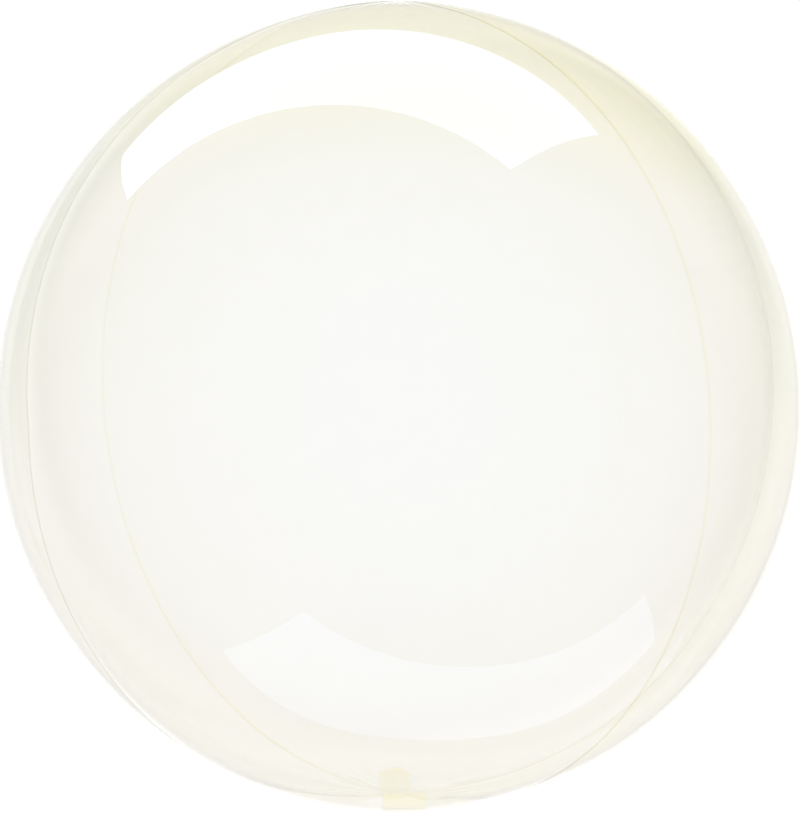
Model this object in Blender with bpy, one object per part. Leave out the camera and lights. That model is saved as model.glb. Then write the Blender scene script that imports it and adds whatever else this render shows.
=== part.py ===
"""A clear bubble balloon, blown up and lying on its side, with the tail of its neck.

The bubble is four panels of film, welded edge to edge along four seams that run from
the crown to the neck. Gas holds it tight and sealed, so it is made as one closed body.
Its long axis runs along Y: the crown is at +Y and a little high, the neck is at -Y and
a little low. +Z is up, and the origin is the middle of the flat on which it lies.
All lengths are in metres.
"""

import math

import bmesh
import bpy
from mathutils import Vector

# The bubble as a whole
BUBBLE_WIDTH = 0.508  # across, over the middles of the two wide panels
AXIS_DIP_DEG = 8.0  # how far the neck end dips below level
FLAT_RADIUS = 0.028  # the flat that the bubble lies on

# The crown, where the seams meet at the top end
CROWN_SWELL = 0.0014  # the film stands out of round by this much
CROWN_SWELL_REACH = 0.076

# The neck, where the seams meet at the tail
NECK_SWELL = 0.0064
NECK_SWELL_REACH = 0.040
NECK_DEPTH = 0.0118  # the tail is welded on in a hollow of this depth
NECK_HOLLOW_REACH = 0.026

# The slack places, one low on each side, where the film is drawn a little flat
SLACK_LONGITUDES_DEG = (88.0, 270.0)
SLACK_POLAR_DEG = 124.0
SLACK_DEPTH = 0.0022
SLACK_REACH = 0.045

# The seams, as longitudes from the front of the bubble towards +X
FRONT_RIGHT_SEAM_DEG = 45.0
BACK_RIGHT_SEAM_DEG = 104.0
BACK_LEFT_SEAM_DEG = 233.0
FRONT_LEFT_SEAM_DEG = 285.0
SEAM_PULL = 0.0055  # the welds stretch less, so they draw the film in by this much
SEAM_PULL_REACH = 0.045  # and the draw fades over this distance

# The tail, a flat strip of welded film layers that hangs over
TAIL_WIDTH = 0.0278
TAIL_OFFSET = 0.0035  # it sits this far towards +X of the bubble's axis
TAIL_THICKNESS = 0.0008
TAIL_ROOT_LENGTH = 0.005  # straight out of the neck
TAIL_BEND_RADIUS = 0.007
TAIL_BEND_DEG = 62.0
TAIL_END_LENGTH = 0.018  # flat, hanging
TAIL_CORNER_RADIUS = 0.0025

CLEARANCE = 0.0003  # between the tail and the film

# Fineness of the surfaces
COLUMN_STEP_DEG = 5.0
ROW_STEP_DEG = 5.5
NECK_ROW_SHARE = 0.22  # towards the neck a row is this share of the way left
NECK_LAST_ROW = 0.0025
BEND_STEP_DEG = 10.0
CORNER_STEPS = 3
WELD_DISTANCE = 1e-6


def half_width():
    """The bubble's radius in the middle of a wide panel."""
    return BUBBLE_WIDTH / 2


def neck_height():
    """How far the neck's weld is from the middle of the bubble, along its axis."""
    return half_width() + NECK_SWELL - NECK_DEPTH


def resting_height():
    """How high the middle of the bubble is when it lies on its flat."""
    return math.sqrt(half_width() ** 2 - FLAT_RADIUS**2)


def seam_longitudes():
    """The four seams in order round the bubble, in radians."""
    degrees = (FRONT_RIGHT_SEAM_DEG, BACK_RIGHT_SEAM_DEG, BACK_LEFT_SEAM_DEG, FRONT_LEFT_SEAM_DEG)
    return [math.radians(angle) for angle in degrees]


def bell(distance, reach):
    """A smooth swell: 1 at its middle, fading over the reach."""
    return math.exp(-((distance / reach) ** 2))


def smooth_step(share):
    """0 up to 0, 1 from 1, and smooth between."""
    share = min(max(share, 0.0), 1.0)
    return share * share * (3 - 2 * share)


def film_radius(polar, longitude):
    """The film's distance from the middle, before the neck is drawn in."""
    radius = half_width()
    radius += CROWN_SWELL * bell(polar * half_width(), CROWN_SWELL_REACH)
    radius += NECK_SWELL * bell((math.pi - polar) * half_width(), NECK_SWELL_REACH)
    for seam in seam_longitudes():
        turn = abs(math.remainder(longitude - seam, 2 * math.pi))
        pull = math.exp(-turn * half_width() / SEAM_PULL_REACH)
        radius -= SEAM_PULL * math.sin(polar) * pull
    for side in SLACK_LONGITUDES_DEG:
        turn = abs(math.remainder(longitude - math.radians(side), 2 * math.pi))
        away = math.hypot(turn * math.sin(polar), polar - math.radians(SLACK_POLAR_DEG))
        radius -= SLACK_DEPTH * bell(away * half_width(), SLACK_REACH)
    return radius


def film_point(direction):
    """The point of the film in a direction from the middle, in the bubble's own axes."""
    polar = direction.angle(Vector((0, 0, 1)))
    longitude = math.atan2(direction.x, -direction.y)
    point = direction.normalized() * film_radius(polar, longitude)
    if point.z < 0:
        beside = max(abs(point.x - TAIL_OFFSET) - TAIL_WIDTH / 2, 0.0)
        free = smooth_step(math.hypot(beside, point.y) / NECK_HOLLOW_REACH)
        point.z = -neck_height() + (point.z + neck_height()) * free
    return point


def row_polars():
    """Polar angles down the profile: even rows, then ever closer ones into the neck."""
    left = math.pi
    polars = [0.0]
    while left > NECK_LAST_ROW / half_width():
        left -= min(math.radians(ROW_STEP_DEG), NECK_ROW_SHARE * left)
        polars.append(math.pi - left)
    return polars + [math.pi]


def add_profile(bm, longitude):
    """The profile from crown to neck as a chain of edges, returned with its points."""
    points = []
    for polar in row_polars():
        across = math.sin(polar)
        place = (across * math.sin(longitude), -across * math.cos(longitude), math.cos(polar))
        points.append(bm.verts.new(place))
    edges = [bm.edges.new(pair) for pair in zip(points, points[1:])]
    return points + edges


def spin_panels(bm):
    """Turns the profile through each panel in turn, with a column of points on each seam."""
    seams = seam_longitudes()
    edge = add_profile(bm, seams[0])
    for start, end in zip(seams, seams[1:] + [seams[0] + 2 * math.pi]):
        steps = round((end - start) / math.radians(COLUMN_STEP_DEG))
        turned = bmesh.ops.spin(
            bm, geom=edge, cent=(0, 0, 0), axis=(0, 0, 1), angle=end - start, steps=steps
        )
        edge = turned["geom_last"]
    bmesh.ops.remove_doubles(bm, verts=bm.verts, dist=WELD_DISTANCE)


def cut_flat(bm):
    """Cuts the underside off flat where the bubble lies."""
    dip = math.radians(AXIS_DIP_DEG)
    up = Vector((0, -math.cos(dip), math.sin(dip)))
    bmesh.ops.bisect_plane(
        bm,
        geom=bm.verts[:] + bm.edges[:] + bm.faces[:],
        plane_co=up * -resting_height(),
        plane_no=up,
        clear_inner=True,
    )
    rim = [edge for edge in bm.edges if edge.is_boundary]
    bmesh.ops.holes_fill(bm, edges=rim)


def make_film_bubble():
    """The closed bubble in its own axes: crown at +Z, front at -Y."""
    bm = bmesh.new()
    spin_panels(bm)
    for vertex in bm.verts:
        vertex.co = film_point(vertex.co)
    cut_flat(bm)
    bmesh.ops.recalc_face_normals(bm, faces=bm.faces)
    return finish_object(bm, "film_bubble")


def tail_line():
    """The middle line of the tail in the bubble's own axes, from its root to its end."""
    out, back = neck_height() + CLEARANCE, 0.0
    line = [(out, back)]
    out += TAIL_ROOT_LENGTH
    steps = round(TAIL_BEND_DEG / BEND_STEP_DEG)
    for step in range(steps + 1):
        turn = math.radians(TAIL_BEND_DEG * step / steps)
        place = (out + TAIL_BEND_RADIUS * math.sin(turn), TAIL_BEND_RADIUS * (1 - math.cos(turn)))
        line.append(place)
    out, back = line[-1]
    turn = math.radians(TAIL_BEND_DEG)
    line.append((out + TAIL_END_LENGTH * math.cos(turn), back + TAIL_END_LENGTH * math.sin(turn)))
    return [Vector((TAIL_OFFSET, back, -out)) for out, back in line]


def make_neck_tail():
    """The tail: a strip along its line, with round corners at its free end."""
    bm = bmesh.new()
    side = Vector((TAIL_WIDTH / 2, 0, 0))
    line = tail_line()
    row = [bm.verts.new(line[0] + side), bm.verts.new(line[0] - side)]
    for middle in line[1:]:
        following = [bm.verts.new(middle + side), bm.verts.new(middle - side)]
        bm.faces.new((row[0], row[1], following[1], following[0]))
        row = following
    bmesh.ops.bevel(
        bm,
        geom=row,
        offset=TAIL_CORNER_RADIUS,
        segments=CORNER_STEPS,
        profile=0.5,
        affect="VERTICES",
    )
    tail = finish_object(bm, "neck_tail")
    wall = tail.modifiers.new("film_layers", "SOLIDIFY")
    wall.thickness = TAIL_THICKNESS
    wall.offset = 0.0
    wall.use_even_offset = True
    return tail


def finish_object(bm, name):
    """Turns a mesh in the making into a smooth-shaded object of the scene."""
    mesh = bpy.data.meshes.new(name)
    bm.to_mesh(mesh)
    bm.free()
    mesh.shade_smooth()
    mesh.set_sharp_from_angle(angle=math.radians(35))
    piece = bpy.data.objects.new(name, mesh)
    bpy.context.scene.collection.objects.link(piece)
    return piece


def add_material(piece, name, colour, roughness, see_through):
    """Gives a piece its own plain material."""
    material = bpy.data.materials.new(name)
    material.use_nodes = True
    shader = material.node_tree.nodes["Principled BSDF"]
    shader.inputs["Base Color"].default_value = (*colour, 1.0)
    shader.inputs["Roughness"].default_value = roughness
    shader.inputs["Metallic"].default_value = 0.0
    shader.inputs["Transmission Weight"].default_value = see_through
    piece.data.materials.append(material)


def clear_scene():
    """Removes whatever the scene holds."""
    for old in list(bpy.data.objects):
        bpy.data.objects.remove(old)


def main():
    """Builds the balloon and lays it on its flat."""
    clear_scene()
    axis = bpy.data.objects.new("balloon_axis", None)
    bpy.context.scene.collection.objects.link(axis)
    axis.location.z = resting_height()
    axis.rotation_euler.x = math.radians(AXIS_DIP_DEG - 90)

    bubble = make_film_bubble()
    add_material(bubble, "clear_film", (0.97, 0.965, 0.87), 0.03, 1.0)
    bubble.parent = axis

    tail = make_neck_tail()
    add_material(tail, "welded_film", (0.93, 0.87, 0.66), 0.25, 0.6)
    tail.parent = axis


main()
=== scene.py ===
"""Dresses the clear bubble balloon and lights it in a plain pale studio.

The balloon lies on its side with its crown towards +Y, and the camera looks down on it.
Its film is a closed shell of real thickness, drawn in along four welded seams. The weld
beads, the tail of the neck and the valve's sleeve inside the bubble are pieces of their own.
All lengths are in metres and all angles in radians, unless a name ends in _deg.
"""

from __future__ import annotations

import logging
import math
from dataclasses import dataclass, fields
from enum import Enum
from typing import Any, ClassVar, Sequence, TypeAlias

import bmesh
import bpy
from mathutils import Euler, Matrix, Vector

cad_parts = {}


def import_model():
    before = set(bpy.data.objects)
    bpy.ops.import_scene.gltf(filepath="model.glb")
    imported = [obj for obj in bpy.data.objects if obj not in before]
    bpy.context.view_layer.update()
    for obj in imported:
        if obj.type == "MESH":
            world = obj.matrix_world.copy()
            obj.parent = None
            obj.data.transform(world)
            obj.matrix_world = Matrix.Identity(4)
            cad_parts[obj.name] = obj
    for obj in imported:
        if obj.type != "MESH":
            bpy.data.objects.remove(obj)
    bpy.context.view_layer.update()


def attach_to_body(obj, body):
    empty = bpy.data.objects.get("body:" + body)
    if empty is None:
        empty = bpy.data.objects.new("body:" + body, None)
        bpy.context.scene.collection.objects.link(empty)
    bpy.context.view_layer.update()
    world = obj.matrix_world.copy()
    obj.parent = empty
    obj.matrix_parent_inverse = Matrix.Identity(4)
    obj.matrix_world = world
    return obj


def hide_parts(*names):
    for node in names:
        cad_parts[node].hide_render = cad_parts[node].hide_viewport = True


LOG = logging.getLogger("bubble_balloon")
BODY = "root"
FULL_TURN = 2 * math.pi
DEGREE = math.radians(1)
JOIN_DISTANCE = 1e-6
SHARP_EDGE_DEG = 40
AFTER_ONE = 0.5  # a light path's count is past this from its first such bounce or crossing
AFTER_TWO = 1.5  # and past this from its second

Number: TypeAlias = "Value | float"


class Seam(Enum):
    """The four welded seams, each with the panel that starts at it and goes on towards +X."""

    FRONT_RIGHT = (46.5, 2.0, 0.25, 1.3)
    BACK_RIGHT = (104.0, 0.0, 1.0, 0.85)
    BACK_LEFT = (232.0, 0.0, 0.4, 0.85)
    FRONT_LEFT = (296.5, -13.5, 0.8, 1.05)

    def __init__(self, longitude_deg: float, lean_deg: float, draw: float, panel: float) -> None:
        """Keeps one seam's facts.

        Args:
            longitude_deg: Its longitude from the front, over the lower half of the bubble.
            lean_deg: How much further round it has come by the crown.
            draw: How much it draws the film in, as a share of the full draw.
            panel: How thick the film of its panel is, as a share of the usual thickness.
        """
        self.longitude = math.radians(longitude_deg)
        self.lean = math.radians(lean_deg)
        self.draw = draw
        self.panel = panel

    @property
    def following(self) -> Seam:
        """The seam at the far side of the panel that starts at this one."""
        order = list(Seam)
        return order[(order.index(self) + 1) % len(order)]

    def line(self, polar: Value) -> Value:
        """The seam's longitude at a polar angle, as a field."""
        return self.longitude + self.lean * polar.cos().at_least(0.0)


class Value:
    """A number socket of a node tree, with maths written as plain expressions."""

    def __init__(self, tree: NodeTree, socket: bpy.types.NodeSocket) -> None:
        """Wraps a socket of the tree."""
        self.tree = tree
        self.socket = socket

    def _maths(self, operation: str, *others: Number) -> Value:
        """Adds a Math node on this value and the others."""
        return self.tree.maths(operation, self, *others)

    def __add__(self, other: Number) -> Value:
        """This value plus another."""
        return self._maths("ADD", other)

    __radd__ = __add__

    def __sub__(self, other: Number) -> Value:
        """This value less another."""
        return self._maths("SUBTRACT", other)

    def __rsub__(self, other: Number) -> Value:
        """Another value less this one."""
        return self.tree.maths("SUBTRACT", other, self)

    def __mul__(self, other: Number) -> Value:
        """This value times another."""
        return self._maths("MULTIPLY", other)

    __rmul__ = __mul__

    def __truediv__(self, other: Number) -> Value:
        """This value divided by another."""
        return self._maths("DIVIDE", other)

    def __rtruediv__(self, other: Number) -> Value:
        """Another value divided by this one."""
        return self.tree.maths("DIVIDE", other, self)

    def __neg__(self) -> Value:
        """This value with its sign turned."""
        return self * -1.0

    def __abs__(self) -> Value:
        """This value without its sign."""
        return self._maths("ABSOLUTE")

    def __gt__(self, other: Number) -> Value:
        """1 where this value is more than the other, else 0."""
        return self._maths("GREATER_THAN", other)

    def sin(self) -> Value:
        """The sine."""
        return self._maths("SINE")

    def cos(self) -> Value:
        """The cosine."""
        return self._maths("COSINE")

    def exp(self) -> Value:
        """The exponential."""
        return self._maths("EXPONENT")

    def hypot(self, other: Number) -> Value:
        """The long side of the right triangle on this value and another."""
        return (self * self + other * other)._maths("SQRT")

    def at_least(self, other: Number) -> Value:
        """The greater of this value and another."""
        return self._maths("MAXIMUM", other)

    def at_most(self, other: Number) -> Value:
        """The lesser of this value and another."""
        return self._maths("MINIMUM", other)

    def wrapped(self) -> Value:
        """This angle brought to within half a turn of nought."""
        return self - (self / FULL_TURN)._maths("ROUND") * FULL_TURN

    def bell(self, reach: Number) -> Value:
        """1 where this distance is nought, fading over the reach."""
        share = self / reach
        return (-(share * share)).exp()

    def smooth_step(self) -> Value:
        """0 up to 0, 1 from 1, and smooth between."""
        share = self.at_least(0.0).at_most(1.0)
        return share * share * (3.0 - 2.0 * share)

    def eased(self, gather: float) -> Value:
        """A share from 0 to 1, with its steps gathered towards both ends."""
        return self - (self * FULL_TURN).sin() * (gather / FULL_TURN)


class NodeTree:
    """A node tree in the making: a material's, a world's or a geometry group's."""

    def __init__(self, tree: bpy.types.NodeTree) -> None:
        """Wraps a tree and empties it."""
        self.tree = tree
        tree.nodes.clear()

    def node(
        self,
        kind: str,
        settings: dict[str, Any] | None = None,
        inputs: dict[str | int, Any] | None = None,
    ) -> bpy.types.Node:
        """Adds a node.

        Args:
            kind: The node's type name.
            settings: Its own settings, set first.
            inputs: Plain values, sockets or Values, by input name or number.

        Returns:
            The node.
        """
        node = self.tree.nodes.new(kind)
        for name, value in (settings or {}).items():
            setattr(node, name, value)
        for name, value in (inputs or {}).items():
            self.feed(node.inputs[name], value)
        return node

    def feed(self, socket: bpy.types.NodeSocket, value: Any) -> None:
        """Links a Value or socket into an input, or sets a plain value on it.

        Args:
            socket: The input.
            value: A Value, a socket or a plain value. A plain colour has three numbers.
        """
        if isinstance(value, Value):
            value = value.socket
        if isinstance(value, bpy.types.NodeSocket):
            self.tree.links.new(value, socket)
        elif isinstance(value, (tuple, list)) and len(value) == 3 and socket.type == "RGBA":
            socket.default_value = (*value, 1.0)
        else:
            socket.default_value = value

    def value(self, node: bpy.types.Node, output: str | int = 0) -> Value:
        """One of a node's outputs as a Value."""
        return Value(self, node.outputs[output])

    def maths(self, operation: str, *terms: Number) -> Value:
        """Adds a Math node on up to three numbers or Values."""
        return self.value(self.node("ShaderNodeMath", {"operation": operation}, dict(enumerate(terms))))

    def vector(self, x: Number, y: Number, z: Number) -> bpy.types.NodeSocket:
        """Joins three numbers into a vector."""
        return self.node("ShaderNodeCombineXYZ", inputs={0: x, 1: y, 2: z}).outputs[0]

    def parts(self, vector: bpy.types.NodeSocket) -> tuple[Value, Value, Value]:
        """Splits a vector into its three numbers."""
        split = self.node("ShaderNodeSeparateXYZ", inputs={0: vector})
        return self.value(split, 0), self.value(split, 1), self.value(split, 2)

    def scaled(self, vector: bpy.types.NodeSocket, factor: Number) -> bpy.types.NodeSocket:
        """A vector times a number."""
        inputs = {0: vector, "Scale": factor}
        return self.node("ShaderNodeVectorMath", {"operation": "SCALE"}, inputs).outputs[0]

    def mix_colour(
        self, share: Number, first: Any, second: Any, blend: str = "MIX"
    ) -> bpy.types.NodeSocket:
        """Mixes two colours.

        Args:
            share: How much of the second colour.
            first: A colour or a colour socket.
            second: A colour or a colour socket.
            blend: The way of mixing.

        Returns:
            The mixed colour's socket.
        """
        settings = {"data_type": "RGBA", "blend_type": blend, "clamp_factor": True}
        node = self.node("ShaderNodeMix", settings, {0: share})
        colours = [socket for socket in node.inputs if socket.type == "RGBA"]
        self.feed(colours[0], first)
        self.feed(colours[1], second)
        return next(socket for socket in node.outputs if socket.type == "RGBA")


class GeometryTree(NodeTree):
    """A geometry group with named inputs, run once on an object to make a plain mesh."""

    def __init__(self, name: str) -> None:
        """Makes an empty group with one geometry output.

        Args:
            name: The group's name.
        """
        group = bpy.data.node_groups.new(name, "GeometryNodeTree")
        super().__init__(group)
        group.interface.new_socket("Geometry", in_out="OUTPUT", socket_type="NodeSocketGeometry")
        self.source: bpy.types.Node | None = None
        self.settings: dict[str, Any] = {}

    def sizes(self, holder: Any) -> dict[str, Value]:
        """Makes a named input of every number that a dataclass holds.

        Args:
            holder: The dataclass.

        Returns:
            The inputs' Values by field name.
        """
        numbers = {f.name: getattr(holder, f.name) for f in fields(holder)}
        numbers = {name: value for name, value in numbers.items() if isinstance(value, (int, float))}
        for name, value in numbers.items():
            kind = "NodeSocketInt" if isinstance(value, int) else "NodeSocketFloat"
            socket = self.tree.interface.new_socket(name, in_out="INPUT", socket_type=kind)
            self.settings[socket.identifier] = value
        self.source = self.tree.nodes.new("NodeGroupInput")
        return {name: Value(self, self.source.outputs[name]) for name in numbers}

    def place(
        self, geometry: bpy.types.NodeSocket, position: bpy.types.NodeSocket
    ) -> bpy.types.NodeSocket:
        """Moves every point to a position field."""
        inputs = {"Geometry": geometry, "Position": position}
        return self.node("GeometryNodeSetPosition", inputs=inputs).outputs[0]

    def joined(self, geometries: Sequence[bpy.types.NodeSocket]) -> bpy.types.NodeSocket:
        """Joins several geometries.

        Args:
            geometries: Their sockets.

        Returns:
            The joined geometry's socket.
        """
        node = self.node("GeometryNodeJoinGeometry")
        for geometry in geometries:
            self.tree.links.new(geometry, node.inputs[0])
        return node.outputs[0]

    def store(self, geometry: bpy.types.NodeSocket, name: str, value: Number) -> bpy.types.NodeSocket:
        """Stores a number on every point under a name.

        Args:
            geometry: The geometry.
            name: The attribute's name.
            value: The number, plain or as a field.

        Returns:
            The socket of the geometry that holds it.
        """
        settings = {"data_type": "FLOAT", "domain": "POINT"}
        inputs = {"Geometry": geometry, "Name": name, "Value": value}
        return self.node("GeometryNodeStoreNamedAttribute", settings, inputs).outputs[0]

    def finish(
        self, geometry: bpy.types.NodeSocket, material: bpy.types.Material, smooth: bool = True
    ) -> None:
        """Ends the tree in Realize Instances and Set Material.

        Args:
            geometry: The finished geometry.
            material: The material of all its faces.
            smooth: Whether the faces are shaded smooth.
        """
        real = self.node("GeometryNodeRealizeInstances", inputs={"Geometry": geometry})
        shaded = self.node(
            "GeometryNodeSetShadeSmooth", inputs={"Geometry": real.outputs[0], "Shade Smooth": smooth}
        )
        dressed = self.node(
            "GeometryNodeSetMaterial", inputs={"Geometry": shaded.outputs[0], "Material": material}
        )
        self.node("NodeGroupOutput", inputs={0: dressed.outputs[0]})

    def run(self, name: str) -> bpy.types.Object:
        """Runs the tree once and keeps its result as a plain mesh.

        Args:
            name: The new piece's name.

        Returns:
            The piece, with no modifier left on it.
        """
        maker = bpy.data.objects.new(name + "_maker", bpy.data.meshes.new(name + "_maker"))
        bpy.context.scene.collection.objects.link(maker)
        modifier = maker.modifiers.new("form", "NODES")
        modifier.node_group = self.tree
        for identifier, value in self.settings.items():
            modifier[identifier] = value
        evaluated = maker.evaluated_get(bpy.context.evaluated_depsgraph_get())
        mesh = bpy.data.meshes.new_from_object(evaluated)
        mesh.name = name
        bpy.data.objects.remove(maker)
        piece = bpy.data.objects.new(name, mesh)
        bpy.context.scene.collection.objects.link(piece)
        return piece


@dataclass(frozen=True)
class FilmTint:
    """Clear film with a faint yellow tint that deepens where one looks along it."""

    pale: tuple[float, float, float] = (0.972, 0.972, 0.964)
    lemon: tuple[float, float, float] = (0.972, 0.925, 0.42)
    gold: tuple[float, float, float] = (1.0, 0.90, 0.49)
    rosy: tuple[float, float, float] = (1.0, 0.986, 0.994)
    leafy: tuple[float, float, float] = (0.998, 0.997, 0.990)
    refraction: float = 1.5
    roughness: float = 0.0
    edge_on: float = 0.22
    hue_turn: float = 0.10
    sheen_bands: float = 14.0
    sheen_wander: float = 9.0
    sheen_rise: float = 2.0
    cloud_scale: float = 5.0
    cloud_detail: float = 2.0
    cloud_least: float = 0.85
    cloud_spread: float = 0.3

    def material(self, name: str) -> bpy.types.Material:
        """Makes the material.

        Args:
            name: The material's name.

        Returns:
            The material.
        """
        material, tree = new_material(name)
        facing = tree.value(tree.node("ShaderNodeLayerWeight", inputs={"Blend": 0.5}), "Facing")
        thick = tree.value(tree.node("ShaderNodeAttribute", {"attribute_name": "thickness"}), "Fac")
        place = object_place(tree)
        noise = {"Vector": place, "Scale": self.cloud_scale, "Detail": self.cloud_detail}
        cloud = tree.value(tree.node("ShaderNodeTexNoise", inputs=noise))
        _, along, _ = tree.parts(place)
        hue = tree.mix_colour((0.5 + along / self.hue_turn).smooth_step(), self.gold, self.lemon)
        share = self.edge_on * facing * thick * (self.cloud_least + self.cloud_spread * cloud)
        tinted = tree.mix_colour(share, self.pale, hue)
        band = (facing * self.sheen_bands + cloud * self.sheen_wander).sin() * 0.5 + 0.5
        sheen = tree.mix_colour(band, self.rosy, self.leafy)
        colour = tree.mix_colour((facing * self.sheen_rise).at_most(1.0), tinted, sheen, "MULTIPLY")
        shader = tree.node(
            "ShaderNodeBsdfPrincipled",
            inputs={
                "Base Color": colour,
                "Roughness": self.roughness,
                "IOR": self.refraction,
                "Transmission Weight": 1.0,
            },
        )
        tree.node("ShaderNodeOutputMaterial", inputs={0: shader.outputs[0]})
        return material


@dataclass(frozen=True)
class WeldedFilm:
    """Film layers melted together: still see-through, but cloudier and a deeper yellow."""

    colour: tuple[float, float, float]
    dark: tuple[float, float, float]
    roughness: float = 0.08
    refraction: float = 1.3
    cloudiness: float = 0.12
    clearness: float = 1.0
    grain: float = 900.0
    cloud_scale: float = 160.0
    cloud_detail: float = 3.0
    cloud_roughness: float = 0.55
    mottle_start: float = 0.35
    mottle_strength: float = 0.8
    bump_strength: float = 0.12
    bump_height: float = 0.0002

    def material(self, name: str) -> bpy.types.Material:
        """Makes the material.

        Args:
            name: The material's name.

        Returns:
            The material.
        """
        material, tree = new_material(name)
        place = object_place(tree)
        cloud = tree.node(
            "ShaderNodeTexNoise",
            inputs={
                "Vector": place,
                "Scale": self.cloud_scale,
                "Detail": self.cloud_detail,
                "Roughness": self.cloud_roughness,
            },
        )
        fine = tree.node("ShaderNodeTexNoise", inputs={"Vector": place, "Scale": self.grain, "Detail": 1.0})
        mottle = tree.value(cloud)
        melted = tree.value(tree.node("ShaderNodeAttribute", {"attribute_name": "melted"}), "Fac")
        share = (mottle - self.mottle_start) * self.mottle_strength + melted
        colour = tree.mix_colour(share, self.colour, self.dark)
        bump = tree.node(
            "ShaderNodeBump",
            inputs={
                "Strength": self.bump_strength,
                "Distance": self.bump_height,
                "Height": tree.value(fine),
            },
        )
        shader = tree.node(
            "ShaderNodeBsdfPrincipled",
            inputs={
                "Base Color": colour,
                "Roughness": self.roughness + self.cloudiness * mottle,
                "IOR": self.refraction,
                "Transmission Weight": self.clearness,
                "Normal": bump.outputs[0],
            },
        )
        tree.node("ShaderNodeOutputMaterial", inputs={0: shader.outputs[0]})
        return material


def new_material(name: str) -> tuple[bpy.types.Material, NodeTree]:
    """Makes an empty node material.

    Args:
        name: The material's name.

    Returns:
        The material and its tree.
    """
    material = bpy.data.materials.new(name)
    material.use_nodes = True
    return material, NodeTree(material.node_tree)


def object_place(tree: NodeTree) -> bpy.types.NodeSocket:
    """The place on the object, in its own coordinates."""
    return tree.node("ShaderNodeTexCoord").outputs["Object"]


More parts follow.
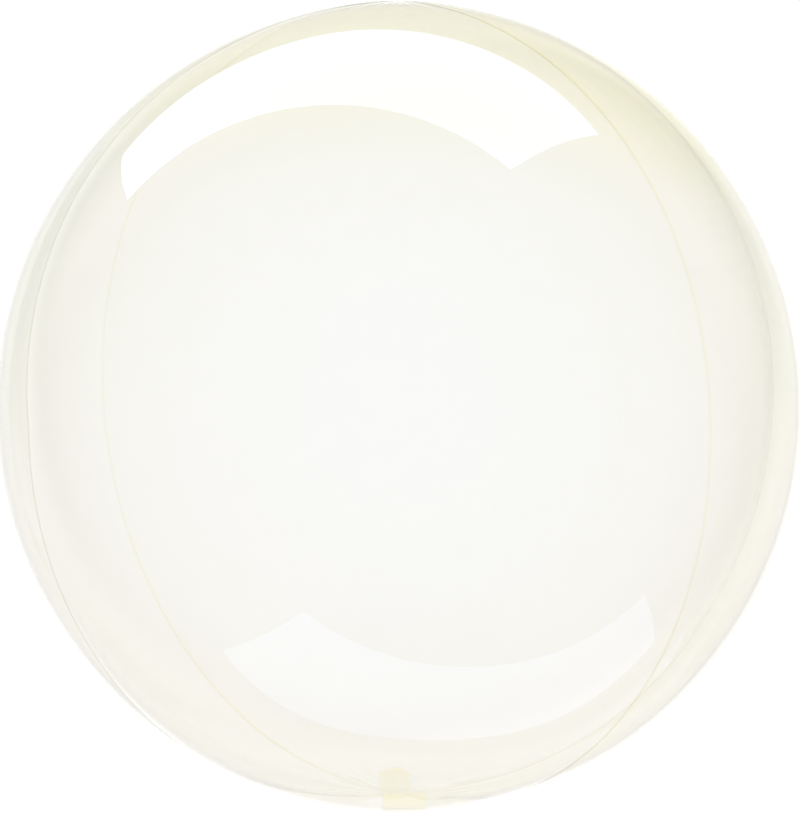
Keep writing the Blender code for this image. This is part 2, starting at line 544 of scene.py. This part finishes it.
@dataclass(frozen=True)
class BubbleShape:
    """The form of the blown-up bubble: the solid's, with its seams and neck drawn in more finely."""

    half_width: float = 0.254
    axis_dip_deg: float = 8.0
    flat_radius: float = 0.028
    crown_swell: float = 0.0014
    crown_swell_reach: float = 0.076
    neck_swell: float = 0.0076
    neck_swell_reach: float = 0.044
    neck_depth: float = 0.0130
    neck_hollow_reach: float = 0.026
    neck_hollow_front: float = 0.65
    neck_draw_reach: float = 0.090
    neck_lobe_turn: float = 0.13
    neck_lobe_start: float = 0.54
    neck_lobe_blend: float = 0.44
    neck_width: float = 0.0278
    neck_offset: float = 0.0035
    slack_right_deg: float = 88.0
    slack_left_deg: float = 270.0
    slack_polar_deg: float = 124.0
    slack_depth: float = 0.0022
    slack_reach: float = 0.045
    seam_pull: float = 0.0055
    seam_pull_reach: float = 0.045
    gather_height: float = 0.00011
    gather_reach: float = 0.050
    gather_count: float = 26.0
    gather_wander: float = 2.0
    gather_wander_count: float = 5.0
    gather_start: float = 0.5

    @property
    def resting_height(self) -> float:
        """How high the middle of the bubble is when it lies on its flat."""
        return math.sqrt(self.half_width**2 - self.flat_radius**2)

    @property
    def neck_height(self) -> float:
        """How far the neck's weld is from the middle of the bubble, along its axis."""
        return self.half_width + self.neck_swell - self.neck_depth

    @property
    def lie(self) -> Matrix:
        """The turn and lift from the bubble's own axes to where it lies."""
        turn = Euler((math.radians(self.axis_dip_deg) - math.pi / 2, 0, 0)).to_matrix().to_4x4()
        return Matrix.Translation((0, 0, self.resting_height)) @ turn

    def field(
        self,
        tree: GeometryTree,
        size: dict[str, Value],
        longitude: Value,
        polar: Value,
        lift: Number,
    ) -> bpy.types.NodeSocket:
        """The place of a point of the film, in the bubble's own axes.

        Args:
            tree: The tree to work in.
            size: This shape's sizes as the tree's inputs.
            longitude: The point's longitude from the front towards +X.
            polar: Its polar angle from the crown.
            lift: How far it stands off the film.

        Returns:
            The position's socket.
        """
        half = size["half_width"]
        across = polar.sin()
        to_neck = (math.pi - polar) * half
        radius = half + lift
        radius = radius + size["crown_swell"] * (polar * half).bell(size["crown_swell_reach"])
        lobe = (longitude + size["neck_lobe_turn"]).cos() - size["neck_lobe_start"]
        loose = (lobe / size["neck_lobe_blend"]).smooth_step()
        for seam in Seam:
            away = abs((longitude - seam.line(polar)).wrapped()) * half
            pull = seam.draw * size["seam_pull"] * across * across
            radius = radius - pull * (-(away / size["seam_pull_reach"])).exp()
        draw = (size["neck_depth"] - size["neck_swell"]) * to_neck.bell(size["neck_draw_reach"])
        swell = size["neck_swell"] * to_neck.bell(size["neck_swell_reach"])
        radius = radius + loose * (swell + draw) - draw
        for side in ("slack_right_deg", "slack_left_deg"):
            turn = (longitude - size[side] * DEGREE).wrapped() * across
            away = turn.hypot(polar - size["slack_polar_deg"] * DEGREE) * half
            radius = radius - size["slack_depth"] * away.bell(size["slack_reach"])
        wander = size["gather_wander"] * (longitude * size["gather_wander_count"]).sin()
        fold = (longitude * size["gather_count"] + wander).sin()
        for end in (to_neck, polar * half):
            rise = (end / (size["gather_reach"] * size["gather_start"])).smooth_step()
            radius = radius + size["gather_height"] * fold * rise * end.bell(size["gather_reach"])
        x = radius * across * longitude.sin()
        y = -(radius * across * longitude.cos())
        z = radius * polar.cos()
        beside = (abs(x - size["neck_offset"]) - size["neck_width"] / 2.0).at_least(0.0)
        ahead = y.at_least(-(y * size["neck_hollow_front"]))
        free = (beside.hypot(ahead) / size["neck_hollow_reach"]).smooth_step().at_least(z > 0.0)
        neck = half + size["neck_swell"] - size["neck_depth"] + lift
        return tree.vector(x, y, (z + neck) * free - neck)

    def lay_down(self, tree: GeometryTree, geometry: bpy.types.NodeSocket) -> bpy.types.NodeSocket:
        """Turns and lifts a geometry from the bubble's own axes to where it lies, on its flat.

        Args:
            tree: The tree to work in.
            geometry: The geometry in the bubble's own axes.

        Returns:
            The socket of the geometry as it lies, with nothing of it below the flat.
        """
        place, turn, _ = self.lie.decompose()
        lying = tree.node(
            "GeometryNodeTransform",
            inputs={"Geometry": geometry, "Translation": place, "Rotation": turn.to_euler()},
        ).outputs[0]
        x, y, z = tree.parts(tree.node("GeometryNodeInputPosition").outputs[0])
        return tree.place(lying, tree.vector(x, y, z.at_least(0.0)))


@dataclass(frozen=True)
class FilmBubble:
    """The film itself: four panels welded into one closed shell with a real wall."""

    shape: BubbleShape = BubbleShape()
    tint: FilmTint = FilmTint()
    film_thickness: float = 0.0001
    wide_columns: int = 58
    narrow_columns: int = 34
    rows: int = 196
    column_gather: float = 0.55
    row_gather: float = 0.6
    crown_thickening: float = 1.26
    crown_full: float = 0.165
    crown_lean: float = 0.13
    crown_fade: float = 0.10
    neck_thickening: float = 0.7
    neck_reach: float = 0.16
    join_distance: float = JOIN_DISTANCE

    def build(self) -> bpy.types.Object:
        """Builds the shell.

        Returns:
            The piece.
        """
        tree = GeometryTree("film_bubble_form")
        size = tree.sizes(self.shape) | tree.sizes(self)
        panels = [self._panel(tree, size, seam) for seam in Seam]
        flat = tree.joined(panels)
        longitude, polar, _ = tree.parts(tree.node("GeometryNodeInputPosition").outputs[0])
        half = size["half_width"]
        full = size["crown_full"] * (1.0 + size["crown_lean"] * longitude.sin())
        crown = 1.0 - ((polar * half - full) / size["crown_fade"]).smooth_step()
        neck = ((math.pi - polar) * half).bell(size["neck_reach"])
        thick = 1.0 + size["crown_thickening"] * crown + size["neck_thickening"] * neck
        panel = tree.node("GeometryNodeInputNamedAttribute", {"data_type": "FLOAT"}, {"Name": "panel"})
        kept = tree.store(flat, "thickness", thick * tree.value(panel))
        outer = tree.place(kept, self.shape.field(tree, size, longitude, polar, 0.0))
        outer = tree.node(
            "GeometryNodeMergeByDistance", inputs={"Geometry": outer, "Distance": size["join_distance"]}
        ).outputs[0]
        outer = self.shape.lay_down(tree, outer)
        normal = tree.node("GeometryNodeInputNormal").outputs[0]
        inward = tree.scaled(normal, -size["film_thickness"])
        inner = tree.node("GeometryNodeSetPosition", inputs={"Geometry": outer, "Offset": inward}).outputs[0]
        inner = tree.node("GeometryNodeFlipFaces", inputs={0: inner}).outputs[0]
        tree.finish(tree.joined([outer, inner]), self.tint.material("clear_film"))
        piece = tree.run("film_shell")
        piece.visible_shadow = False
        piece.visible_diffuse = False
        return piece

    def _panel(self, tree: GeometryTree, size: dict[str, Value], seam: Seam) -> bpy.types.NodeSocket:
        """One panel as a flat sheet of longitude against polar angle.

        Args:
            tree: The tree to work in.
            size: The sizes as the tree's inputs.
            seam: The seam that the panel starts at.

        Returns:
            The sheet, with its columns gathered towards the seams and its rows to the ends.
        """
        wide = (seam.following.longitude - seam.longitude) % FULL_TURN > math.pi / 2
        columns = size["wide_columns" if wide else "narrow_columns"]
        grid = tree.node(
            "GeometryNodeMeshGrid",
            inputs={"Size X": 1.0, "Size Y": 1.0, "Vertices X": columns, "Vertices Y": size["rows"]},
        ).outputs[0]
        x, y, _ = tree.parts(tree.node("GeometryNodeInputPosition").outputs[0])
        across = (x + 0.5).eased(self.column_gather)
        polar = math.pi * (0.5 - y).eased(self.row_gather)
        start, end = seam.line(polar), seam.following.line(polar)
        if seam.following.longitude < seam.longitude:
            end = end + FULL_TURN
        kept = tree.store(grid, "panel", seam.panel)
        return tree.place(kept, tree.vector(start + (end - start) * across, polar, 0.0))


@dataclass(frozen=True)
class SeamWeld:
    """The bead of melted film along one seam, from the crown to the neck."""

    seam: Seam
    shape: BubbleShape = BubbleShape()
    bead_width: float = 0.0026
    bead_height: float = 0.00005
    bead_lift: float = 0.00004
    sides: int = 9
    rows: int = 260
    end_taper: float = 0.02
    row_gather: float = 0.5
    join_distance: float = JOIN_DISTANCE
    finish: ClassVar[WeldedFilm] = WeldedFilm(
        colour=(0.995, 0.992, 0.945),
        dark=(0.99, 0.965, 0.82),
        roughness=0.0,
        refraction=1.12,
        cloudiness=0.04,
    )

    def build(self, material: bpy.types.Material) -> bpy.types.Object:
        """Builds the bead.

        Args:
            material: The finish that all the beads share.

        Returns:
            The piece.
        """
        name = "seam_weld_" + self.seam.name.lower()
        tree = GeometryTree(name + "_form")
        size = tree.sizes(self.shape) | tree.sizes(self)
        grid = tree.node(
            "GeometryNodeMeshGrid",
            inputs={"Size X": 1.0, "Size Y": 1.0, "Vertices X": size["sides"], "Vertices Y": size["rows"]},
        ).outputs[0]
        x, y, _ = tree.parts(tree.node("GeometryNodeInputPosition").outputs[0])
        round_it = (0.5 - x) * FULL_TURN
        polar = math.pi * (0.5 - y).eased(self.row_gather)
        reach = polar.sin() * size["half_width"]
        slim = (reach / size["end_taper"]).at_most(1.0)
        # A circle stretched by the root of two and clipped on all sides is a rectangle
        corner = math.sqrt(2.0)
        flat_x = (round_it.cos() * corner).at_most(1.0).at_least(-1.0)
        flat_z = (round_it.sin() * corner).at_most(1.0).at_least(-1.0)
        aside = flat_x * size["bead_width"] / 2.0 * slim
        longitude = self.seam.line(polar) + aside / reach.at_least(size["join_distance"])
        lift = size["bead_lift"] + flat_z * size["bead_height"] * 0.5 * slim
        kept = tree.store(grid, "melted", polar.cos() * polar.cos())
        bead = tree.place(kept, self.shape.field(tree, size, longitude, polar, lift))
        bead = tree.node(
            "GeometryNodeMergeByDistance", inputs={"Geometry": bead, "Distance": size["join_distance"]}
        ).outputs[0]
        tree.finish(self.shape.lay_down(tree, bead), material, smooth=False)
        piece = tree.run(name)
        piece.visible_shadow = False
        return piece


@dataclass(frozen=True)
class FilmStrip:
    """A flat strip of film layers that leaves the neck's weld and hangs over."""

    name: str
    outward: bool
    width: float
    offset: float
    root_length: float
    bend_radius: float
    bend_deg: float
    end_length: float
    thickness: float
    corner_radius: float
    end_peak: float
    channel_width: float
    ruffle: float
    finish: WeldedFilm
    finish_name: str
    shape: BubbleShape = BubbleShape()
    clearance: float = 0.0003
    columns: int = 48
    rows: int = 72
    rib_height: float = 0.00012
    rib_width: float = 0.0009
    rib_rise: float = 6.0
    edge_share: float = 0.35
    edge_rise: float = 8.0
    edge_power: float = 0.5
    end_rise: float = 4.0
    end_least: float = 0.3
    long_wave: float = 2.3
    long_phase: float = 0.7
    short_wave: float = 5.1
    short_phase: float = 2.1
    short_drift: float = 3.0
    short_share: float = 0.4
    melt_power: float = 3.0
    melt_full: float = 1.0

    @property
    def length(self) -> float:
        """The length of the strip along its middle line."""
        return self.root_length + self.bend_radius * math.radians(self.bend_deg) + self.end_length

    def line_point(self, along: float) -> tuple[Vector, Vector]:
        """The middle line at a distance from the root.

        Args:
            along: The distance.

        Returns:
            The place and the strip's upper normal there, in the bubble's own axes.
        """
        bend = math.radians(self.bend_deg)
        curved = min(max(along - self.root_length, 0.0), self.bend_radius * bend)
        turn = curved / self.bend_radius
        straight = min(along, self.root_length)
        rest = max(along - self.root_length - self.bend_radius * bend, 0.0)
        out = straight + self.bend_radius * math.sin(turn) + rest * math.cos(turn)
        back = self.bend_radius * (1 - math.cos(turn)) + rest * math.sin(turn)
        away = self.clearance + out
        side = -1 if self.outward else 1
        height = -self.shape.neck_height + side * away
        normal = Vector((0, -math.cos(turn), side * math.sin(turn)))
        return Vector((self.offset, back, height)), normal

    def half_width_at(self, left: float) -> float:
        """Half the strip's width, rounded at its free corners.

        Args:
            left: The distance from the free end.

        Returns:
            Half the width there.
        """
        half = self.width / 2
        if left >= self.corner_radius:
            return half
        inset = self.corner_radius - left
        return half - self.corner_radius + math.sqrt(max(self.corner_radius**2 - inset**2, 0.0))

    def half_thickness(self, across: float, along: float) -> float:
        """Half the wall at a place of the strip, with the welds pressed along the channel.

        Args:
            across: The distance from the middle line.
            along: The distance from the root.

        Returns:
            Half the wall there.
        """
        share = along / self.length
        edge = 1 - abs(across) / (self.width / 2)
        rounding = min(edge * self.edge_rise, 1.0) ** self.edge_power
        wall = self.thickness / 2 * (self.edge_share + (1 - self.edge_share) * rounding)
        away = abs(abs(across) - self.channel_width / 2)
        rib = self.rib_height * math.exp(-((away / self.rib_width) ** 2))
        return wall - rib * min(share * self.rib_rise, 1.0)

    def wave(self, across: float, along: float) -> float:
        """How far the sheet waves off its middle line, more towards its free end.

        Args:
            across: The distance from the middle line.
            along: The distance from the root.

        Returns:
            The distance off.
        """
        share = along / self.length
        drift = self.short_drift * share
        first = math.sin(across / self.width * self.long_wave * math.pi + self.long_phase)
        second = math.sin(across / self.width * self.short_wave * math.pi + self.short_phase + drift)
        return self.ruffle * share**2 * (first + self.short_share * second)

    def build(self) -> bpy.types.Object:
        """Builds the strip as one closed body.

        Returns:
            The piece.
        """
        lie = self.shape.lie
        sheets: list[list[list[Vector]]] = [[], []]
        for row in range(self.rows + 1):
            share = row / self.rows
            base = self.length * math.sin(share * math.pi / 2)
            for side, sheet in zip((1, -1), sheets):
                line = []
                for column in range(self.columns + 1):
                    u = -math.cos(math.pi * column / self.columns)
                    peak = self.end_peak * (1 - u * u) * share
                    place, normal = self.line_point(base + peak)
                    half = self.half_width_at(self.length - base)
                    across = u * half
                    wall = self.half_thickness(across, base)
                    slim = min(1.0, self.end_rise * (1 - share) + self.end_least)
                    off = self.wave(across, base) + side * wall * slim
                    point = place + Vector((across, 0, 0)) + normal * off
                    line.append(lie @ point)
                sheet.append(line)
        return self._closed(sheets, self.finish.material(self.finish_name))

    def _closed(
        self, sheets: list[list[list[Vector]]], material: bpy.types.Material
    ) -> bpy.types.Object:
        """Joins an upper and a lower sheet round their rim into one body.

        Args:
            sheets: The two sheets, each as rows of points.
            material: The body's material.

        Returns:
            The piece, with how far each point is melted kept on it.
        """
        across = self.columns + 1
        count = across * (self.rows + 1)
        points = [point for sheet in sheets for line in sheet for point in line]

        def at(sheet: int, row: int, column: int) -> int:
            """The number of a point by its sheet, row and column."""
            return sheet * count + row * across + column

        faces = []
        for row in range(self.rows):
            for column in range(self.columns):
                ring = ((row, column), (row, column + 1), (row + 1, column + 1), (row + 1, column))
                faces.append([at(0, *place) for place in ring])
                faces.append([at(1, *place) for place in reversed(ring)])
        rim = [(0, column) for column in range(self.columns)]
        rim += [(row, self.columns) for row in range(self.rows)]
        rim += [(self.rows, column) for column in range(self.columns, 0, -1)]
        rim += [(row, 0) for row in range(self.rows, 0, -1)]
        for start, end in zip(rim, rim[1:] + rim[:1]):
            faces.append([at(0, *end), at(0, *start), at(1, *start), at(1, *end)])
        piece = mesh_piece(self.name, points, faces, material)
        melted = piece.data.attributes.new("melted", "FLOAT", "POINT")
        root = self.shape.lie @ self.line_point(0.0)[0]
        for vertex, item in zip(piece.data.vertices, melted.data):
            share = (vertex.co - root).length / self.length / self.melt_full
            item.value = min(share, 1.0) ** self.melt_power
        return piece


@dataclass(frozen=True)
class ValveTail(FilmStrip):
    """The flat outer end of the filling valve, which leaves the neck."""

    name: str = "valve_tail"
    outward: bool = True
    width: float = 0.0278
    offset: float = 0.0035
    root_length: float = 0.005
    bend_radius: float = 0.007
    bend_deg: float = 62.0
    end_length: float = 0.018
    thickness: float = 0.0007
    corner_radius: float = 0.0025
    end_peak: float = 0.0
    channel_width: float = 0.019
    ruffle: float = 0.0003
    finish: WeldedFilm = WeldedFilm(colour=(1.0, 0.97, 0.84), dark=(1.0, 0.955, 0.64))
    finish_name: str = "tail_film"
    melt_power: float = 0.5
    melt_full: float = 0.4


@dataclass(frozen=True)
class ValveSleeve(FilmStrip):
    """The filling valve's narrow inner tube, pressed flat and sealed inside the bubble."""

    name: str = "valve_sleeve"
    outward: bool = False
    width: float = 0.019
    offset: float = -0.0028
    root_length: float = 0.003
    bend_radius: float = 0.007
    bend_deg: float = 58.0
    end_length: float = 0.0047
    thickness: float = 0.0004
    corner_radius: float = 0.0006
    end_peak: float = 0.0044
    channel_width: float = 0.013
    ruffle: float = 0.0004
    finish: WeldedFilm = WeldedFilm(colour=(1.0, 0.985, 0.90), dark=(0.995, 0.95, 0.80))
    finish_name: str = "sleeve_film"


def mesh_piece(
    name: str,
    points: Sequence[Vector],
    faces: Sequence[Sequence[int]],
    material: bpy.types.Material,
) -> bpy.types.Object:
    """Makes a smooth piece from points and faces, with doubles merged and faces outward.

    Args:
        name: The piece's name.
        points: Its points.
        faces: The numbers of the points round each face.
        material: Its material.

    Returns:
        The piece.
    """
    mesh = bpy.data.meshes.new(name)
    mesh.from_pydata(points, [], faces)
    bm = bmesh.new()
    bm.from_mesh(mesh)
    bmesh.ops.remove_doubles(bm, verts=bm.verts, dist=JOIN_DISTANCE)
    bmesh.ops.recalc_face_normals(bm, faces=bm.faces)
    bm.to_mesh(mesh)
    bm.free()
    mesh.shade_smooth()
    mesh.set_sharp_from_angle(angle=math.radians(SHARP_EDGE_DEG))
    mesh.materials.append(material)
    piece = bpy.data.objects.new(name, mesh)
    bpy.context.scene.collection.objects.link(piece)
    return piece


@dataclass(frozen=True)
class Studio:
    """The pale room: a floor with a painted pool of light round the balloon, soft light and the camera that
    looks down.
    """

    shape: BubbleShape = BubbleShape()
    camera_distance: float = 2.54
    lens: float = 178.3
    sensor_width: float = 36.0
    camera_x: float = 0.0007
    camera_y: float = 0.0008
    view_end: float = 100.0
    floor_size: float = 30.0
    floor_drop: float = 0.0004
    floor_shade: float = 0.86
    # The floor's painted pool of light: white within the pool, painted grey shade further out.
    floor_far_shade: float = 0.60
    floor_pool: float = 0.46
    floor_fade: float = 0.6
    sky: float = 0.61
    backdrop: float = 0.93
    backdrop_start: float = 0.66
    backdrop_blend: float = 0.25
    end_glow: float = 0.36
    neck_glow: float = 0.17
    crown_dim: float = 0.24
    crown_dim_reach: float = 0.3
    side_glow: float = 0.12
    corner_shade: float = 1.6
    left_corner_share: float = 0.78
    edge_glow: float = 1.25
    edge_start: float = 0.90
    edge_blend: float = 0.08
    fill: float = 2.0
    fill_spread_deg: float = 60.0
    softbox_middle: tuple[float, float, float] = (-0.524, 2.145, -0.840)
    softbox_along: tuple[float, float, float] = (0.8975, 0.0598, 0.4370)
    softbox_facing: tuple[float, float, float] = (0.0009, -0.9910, 0.1337)
    softbox_length: float = 4.35
    softbox_width: float = 1.42
    softbox_corner: tuple[float, float] = (0.90, 1.22)
    softbox_tone: tuple[float, float, float] = (0.93, 1.06, 1.50)
    softbox_glow: float = 1.85
    softbox_far_glow: float = 1.08

    def build(self) -> None:
        """Builds the floor, the lights and the camera."""
        self._floor()
        self._world()
        self._softbox()
        self._fill()
        self._camera()

    def _floor(self) -> None:
        """A wide pale floor that the balloon's own reflections leave out, with a pool of light painted round
        the balloon: white near it, greyer further out.
        """
        half = self.floor_size / 2
        square = ((-1, -1), (1, -1), (1, 1), (-1, 1))
        corners = [Vector((x * half, y * half, -self.floor_drop)) for x, y in square]
        material, tree = new_material("pale_floor")
        path = tree.node("ShaderNodeLightPath")
        reflected = tree.value(path, "Glossy Depth") > AFTER_ONE
        x, y, _ = tree.parts(object_place(tree))
        # Painted pool of light: the floor's colour fades from white near the balloon to grey further out.
        far = ((x.hypot(y) - self.floor_pool) / self.floor_fade).smooth_step()
        shade = self.floor_shade + (self.floor_far_shade - self.floor_shade) * far
        matt = tree.node("ShaderNodeBsdfDiffuse", inputs={"Color": tree.vector(shade, shade, shade)})
        clear = tree.node("ShaderNodeBsdfTransparent")
        inputs = {0: reflected, 1: matt.outputs[0], 2: clear.outputs[0]}
        mixed = tree.node("ShaderNodeMixShader", inputs=inputs)
        tree.node("ShaderNodeOutputMaterial", inputs={0: mixed.outputs[0]})
        mesh_piece("floor", corners, [(0, 1, 2, 3)], material)

    def _world(self) -> None:
        """Soft light from all round, with a bright backdrop straight below."""
        world = bpy.data.worlds.new("studio")
        bpy.context.scene.world = world
        world.use_nodes = True
        tree = NodeTree(world.node_tree)
        direction = tree.node("ShaderNodeTexCoord").outputs["Generated"]
        x, y, z = tree.parts(direction)
        corner = (x.at_least(0.0) + self.left_corner_share * (-x).at_least(0.0)) * y.at_least(0.0)
        ends = self.end_glow * abs(y) + self.neck_glow * (-y).at_least(0.0)
        glow = ends + self.side_glow * abs(x) - self.corner_shade * corner
        below = (glow - z - self.backdrop_start) / self.backdrop_blend
        straight_down = (-z - self.edge_start) / self.edge_blend
        shade = self.sky + (self.backdrop - self.sky) * below.smooth_step()
        shade = shade + (self.edge_glow - self.backdrop) * straight_down.smooth_step()
        dim = self.crown_dim * y.at_least(0.0) * x.bell(self.crown_dim_reach)
        shade = shade - dim * below.smooth_step()
        light = tree.node("ShaderNodeBackground", inputs={"Color": tree.vector(shade, shade, shade)})
        tree.node("ShaderNodeOutputWorld", inputs={0: light.outputs[0]})

    def _softbox(self) -> None:
        """The large softbox beyond the crown, seen only as the bright patches on the film."""
        middle = Vector(self.softbox_middle) + Vector((0, 0, self.shape.resting_height))
        length = Vector(self.softbox_along).normalized() * self.softbox_length / 2
        width = length.cross(Vector(self.softbox_facing)).normalized() * self.softbox_width / 2
        shares = ((-1, -1), (1, -1), self.softbox_corner, (-1, 1))
        corners = [middle + length * a + width * b for a, b in shares]
        material, tree = new_material("softbox_glow")
        path = tree.node("ShaderNodeLightPath")
        reflected = tree.value(path, "Glossy Depth") > AFTER_ONE
        through = tree.value(path, "Transmission Depth") > AFTER_TWO
        strength = self.softbox_glow + (self.softbox_far_glow - self.softbox_glow) * through
        glow = tree.node("ShaderNodeEmission", inputs={"Color": self.softbox_tone, "Strength": strength})
        clear = tree.node("ShaderNodeBsdfTransparent")
        inputs = {0: reflected, 1: clear.outputs[0], 2: glow.outputs[0]}
        mixed = tree.node("ShaderNodeMixShader", inputs=inputs)
        tree.node("ShaderNodeOutputMaterial", inputs={0: mixed.outputs[0]})
        panel = mesh_piece("softbox", corners, [(0, 1, 2, 3)], material)
        panel.visible_diffuse = False
        panel.visible_shadow = False

    def _fill(self) -> None:
        """A broad light straight down, which keeps the floor white."""
        light = bpy.data.lights.new("fill", "SUN")
        light.energy = self.fill
        light.angle = math.radians(self.fill_spread_deg)
        lamp = bpy.data.objects.new("fill", light)
        bpy.context.scene.collection.objects.link(lamp)
        lamp.visible_glossy = False
        lamp.visible_transmission = False

    def _camera(self) -> None:
        """The camera above the balloon, with the crown at the top of the picture."""
        camera = bpy.data.cameras.new("camera")
        camera.lens = self.lens
        camera.sensor_width = self.sensor_width
        camera.clip_end = self.view_end
        stand = bpy.data.objects.new("camera", camera)
        height = self.shape.resting_height + self.camera_distance
        stand.location = (self.camera_x, self.camera_y, height)
        bpy.context.scene.collection.objects.link(stand)
        bpy.context.scene.camera = stand
        bpy.context.scene.view_settings.view_transform = "Standard"


def report(piece: bpy.types.Object) -> None:
    """Logs a finished piece with its triangles.

    Args:
        piece: The piece.
    """
    mesh = piece.data
    mesh.calc_loop_triangles()
    LOG.info("%s: %d triangles", piece.name, len(mesh.loop_triangles))


def attach(piece: bpy.types.Object, slot: str, *nodes: str) -> None:
    """Lets a piece ride on the body and stand for the nodes it replaces.

    Args:
        piece: The piece.
        slot: Its material slot; not used.
        nodes: The CAD nodes that it replaces, if any.
    """
    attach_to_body(piece, BODY)
    if nodes:
        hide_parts(*nodes)
    report(piece)


def main() -> None:
    """Builds the balloon piece by piece, then the studio round it."""
    logging.basicConfig(level=logging.INFO, format="%(name)s: %(message)s")
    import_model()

    attach(FilmBubble().build(), "clear_film", "film_bubble")

    weld_finish = SeamWeld.finish.material("seam_weld")
    for seam in Seam:
        attach(SeamWeld(seam).build(weld_finish), "welded_film")

    attach(ValveTail().build(), "welded_film", "neck_tail")
    attach(ValveSleeve().build(), "welded_film")

    Studio().build()


if __name__ == "__main__":
    main()
